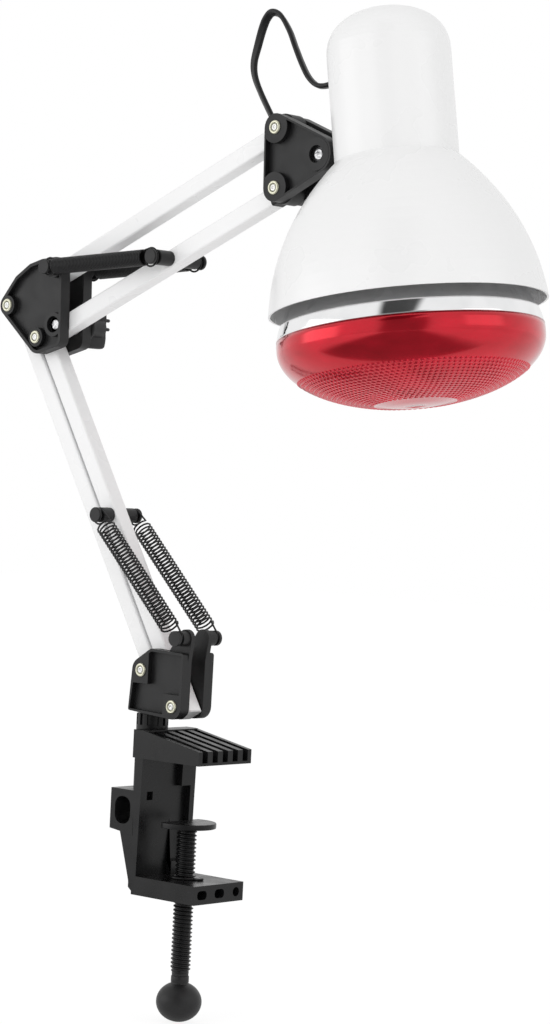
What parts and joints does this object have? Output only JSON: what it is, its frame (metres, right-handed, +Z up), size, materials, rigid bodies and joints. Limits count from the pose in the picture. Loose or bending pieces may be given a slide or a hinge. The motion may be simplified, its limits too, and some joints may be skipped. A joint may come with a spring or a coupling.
{
  "type": "infrared heat therapy lamp",
  "caption": "Spring-balanced swing-arm lamp on a screw clamp: parallel square-tube arms, wing-knob joints and a bell shade with a large red reflector bulb.",
  "frame": {"origin": "on the upper jaw's gripping face, where the clamp screw's axis meets it", "axes": "+Z up along the clamp screw; +X out of the clamp's mouth, the way the lamp reaches; +Y to the side of the wing knobs"},
  "size_m": [0.3297, 0.1304, 0.4988],
  "materials": {
    "black_plastic": "moulded, satin",
    "spring_wire": "black lacquered spring wire",
    "white_paint": "white powder coat",
    "plug_plastic": "moulded",
    "rivet_metal": "nickel plated, rolled",
    "steel": "zinc plated",
    "white_shade": "white gloss enamel",
    "cord": "black cord",
    "ceramic": "glazed ceramic",
    "brass": "bright",
    "mirror_glass": "mirror coat inside glass",
    "red_glass": "deep red pressed glass",
    "clear_glass": "clear",
    "black_glass": "black glass insulator",
    "tungsten": "tungsten"
  },
  "bodies": {
    "clamp": {"clamp_body": "black_plastic", "clamp_nut": "black_plastic"},
    "pad": {"clamp_pad": "black_plastic"},
    "clamp_screw": {"clamp_screw": "black_plastic", "clamp_ball_knob": "black_plastic"},
    "base_bracket": {"base_spigot": "black_plastic", "base_plate_near": "black_plastic", "base_plate_far": "black_plastic", "base_rivets": "rivet_metal", "lower_spring_near": "spring_wire", "lower_spring_far": "spring_wire"},
    "lower_back": {"lower_tube_back": "white_paint", "lower_tube_back_plugs": "plug_plastic"},
    "lower_front": {"lower_tube_front": "white_paint", "lower_tube_front_plugs": "plug_plastic", "lower_spring_stud": "black_plastic"},
    "elbow": {"elbow_plate_near": "black_plastic", "elbow_plate_far": "black_plastic", "elbow_rivets": "rivet_metal", "elbow_spring_pin": "black_plastic", "elbow_nut": "steel", "elbow_washers": "rivet_metal", "upper_spring_near": "spring_wire", "upper_spring_far": "spring_wire"},
    "elbow_knob": {"elbow_knob": "black_plastic", "elbow_knob_stud": "steel"},
    "upper_bottom": {"upper_tube_bottom": "white_paint", "upper_tube_bottom_plug": "plug_plastic", "upper_tube_bottom_eye": "black_plastic", "upper_spring_stud": "black_plastic"},
    "upper_top": {"upper_tube_top": "white_paint", "upper_tube_top_plug": "plug_plastic", "upper_tube_top_eye": "black_plastic"},
    "head_bracket": {"head_plate_near": "black_plastic", "head_plate_far": "black_plastic", "head_rivets": "rivet_metal", "tilt_nut": "steel", "tilt_washers": "rivet_metal", "head_cord": "cord"},
    "tilt_knob": {"tilt_knob": "black_plastic", "tilt_knob_stud": "steel"},
    "head": {"neck_bracket": "steel", "bracket_screws": "steel", "shade": "white_shade", "cord_grommet": "black_plastic", "holder_strap": "steel", "strap_screws": "steel", "lamp_holder": "ceramic", "holder_shell": "brass", "holder_contact": "brass", "bulb_cap": "steel", "bulb_cap_insulator": "black_glass", "bulb_reflector": "mirror_glass", "bulb_face": "red_glass", "bulb_stem": "clear_glass", "filament_leads": "steel", "filament": "tungsten"}
  },
  "joints": [
    {"name": "base_swivel", "type": "hinge", "parent": "clamp", "child": "base_bracket", "pos_m": [-0.0272, 0, 0], "axis": [0, 0, 1], "continuous": true},
    {"name": "lower_arm_tilt", "type": "hinge", "parent": "base_bracket", "child": "lower_back", "pos_m": [-0.0263, 0, 0.0427], "axis": [0, 1, 0], "range_deg": [-2, 75]},
    {"name": "lower_front_tube", "type": "hinge", "parent": "base_bracket", "child": "lower_front", "pos_m": [-0.0043, 0, 0.0262], "axis": [0, 1, 0], "range_deg": [-2, 75], "deforming": ["lower_spring_near", "lower_spring_far"]},
    {"name": "elbow_level", "type": "hinge", "parent": "lower_back", "child": "elbow", "pos_m": [-0.13523, 0, 0.22399], "axis": [0, 1, 0], "range_deg": [-75, 2]},
    {"name": "upper_arm_tilt", "type": "hinge", "parent": "elbow", "child": "upper_bottom", "pos_m": [-0.10083, 0, 0.21409], "axis": [0, 1, 0], "range_deg": [-20, 60], "deforming": ["upper_spring_near", "upper_spring_far"]},
    {"name": "upper_top_tube", "type": "hinge", "parent": "elbow", "child": "upper_top", "pos_m": [-0.10183, 0, 0.24309], "axis": [0, 1, 0], "range_deg": [-20, 60]},
    {"name": "head_level", "type": "hinge", "parent": "upper_bottom", "child": "head_bracket", "pos_m": [0.04614, 0, 0.27983], "axis": [0, 1, 0], "range_deg": [-60, 20]},
    {"name": "head_tilt", "type": "hinge", "parent": "head_bracket", "child": "head", "pos_m": [0.07174, 0, 0.29503], "axis": [0, 1, 0], "range_deg": [-55, 30], "deforming": ["head_cord"]},
    {"name": "elbow_knob_turn", "type": "hinge", "parent": "elbow", "child": "elbow_knob", "pos_m": [-0.10083, 0, 0.21409], "axis": [0, 1, 0], "range_deg": [-360, 45]},
    {"name": "tilt_knob_turn", "type": "hinge", "parent": "head_bracket", "child": "tilt_knob", "pos_m": [0.07174, 0, 0.29503], "axis": [0, 1, 0], "range_deg": [-360, 45]},
    {"name": "clamp_pad_slide", "type": "slide", "parent": "clamp", "child": "pad", "axis": [0, 0, 1], "range_m": [-0.022, 0.03]},
    {"name": "clamp_screw_turn", "type": "hinge", "parent": "pad", "child": "clamp_screw", "pos_m": [0, 0, 0], "axis": [0, 0, 1], "range_deg": [-3961, 5401]}
  ],
  "couplings": [
    {"joint": "lower_front_tube", "follows": "lower_arm_tilt", "ratio": 1},
    {"joint": "elbow_level", "follows": "lower_arm_tilt", "ratio": -1},
    {"joint": "upper_top_tube", "follows": "upper_arm_tilt", "ratio": 1},
    {"joint": "head_level", "follows": "upper_arm_tilt", "ratio": -1},
    {"joint": "clamp_screw_turn", "follows": "clamp_pad_slide", "rad_per_m": 3141.6}
  ]
}
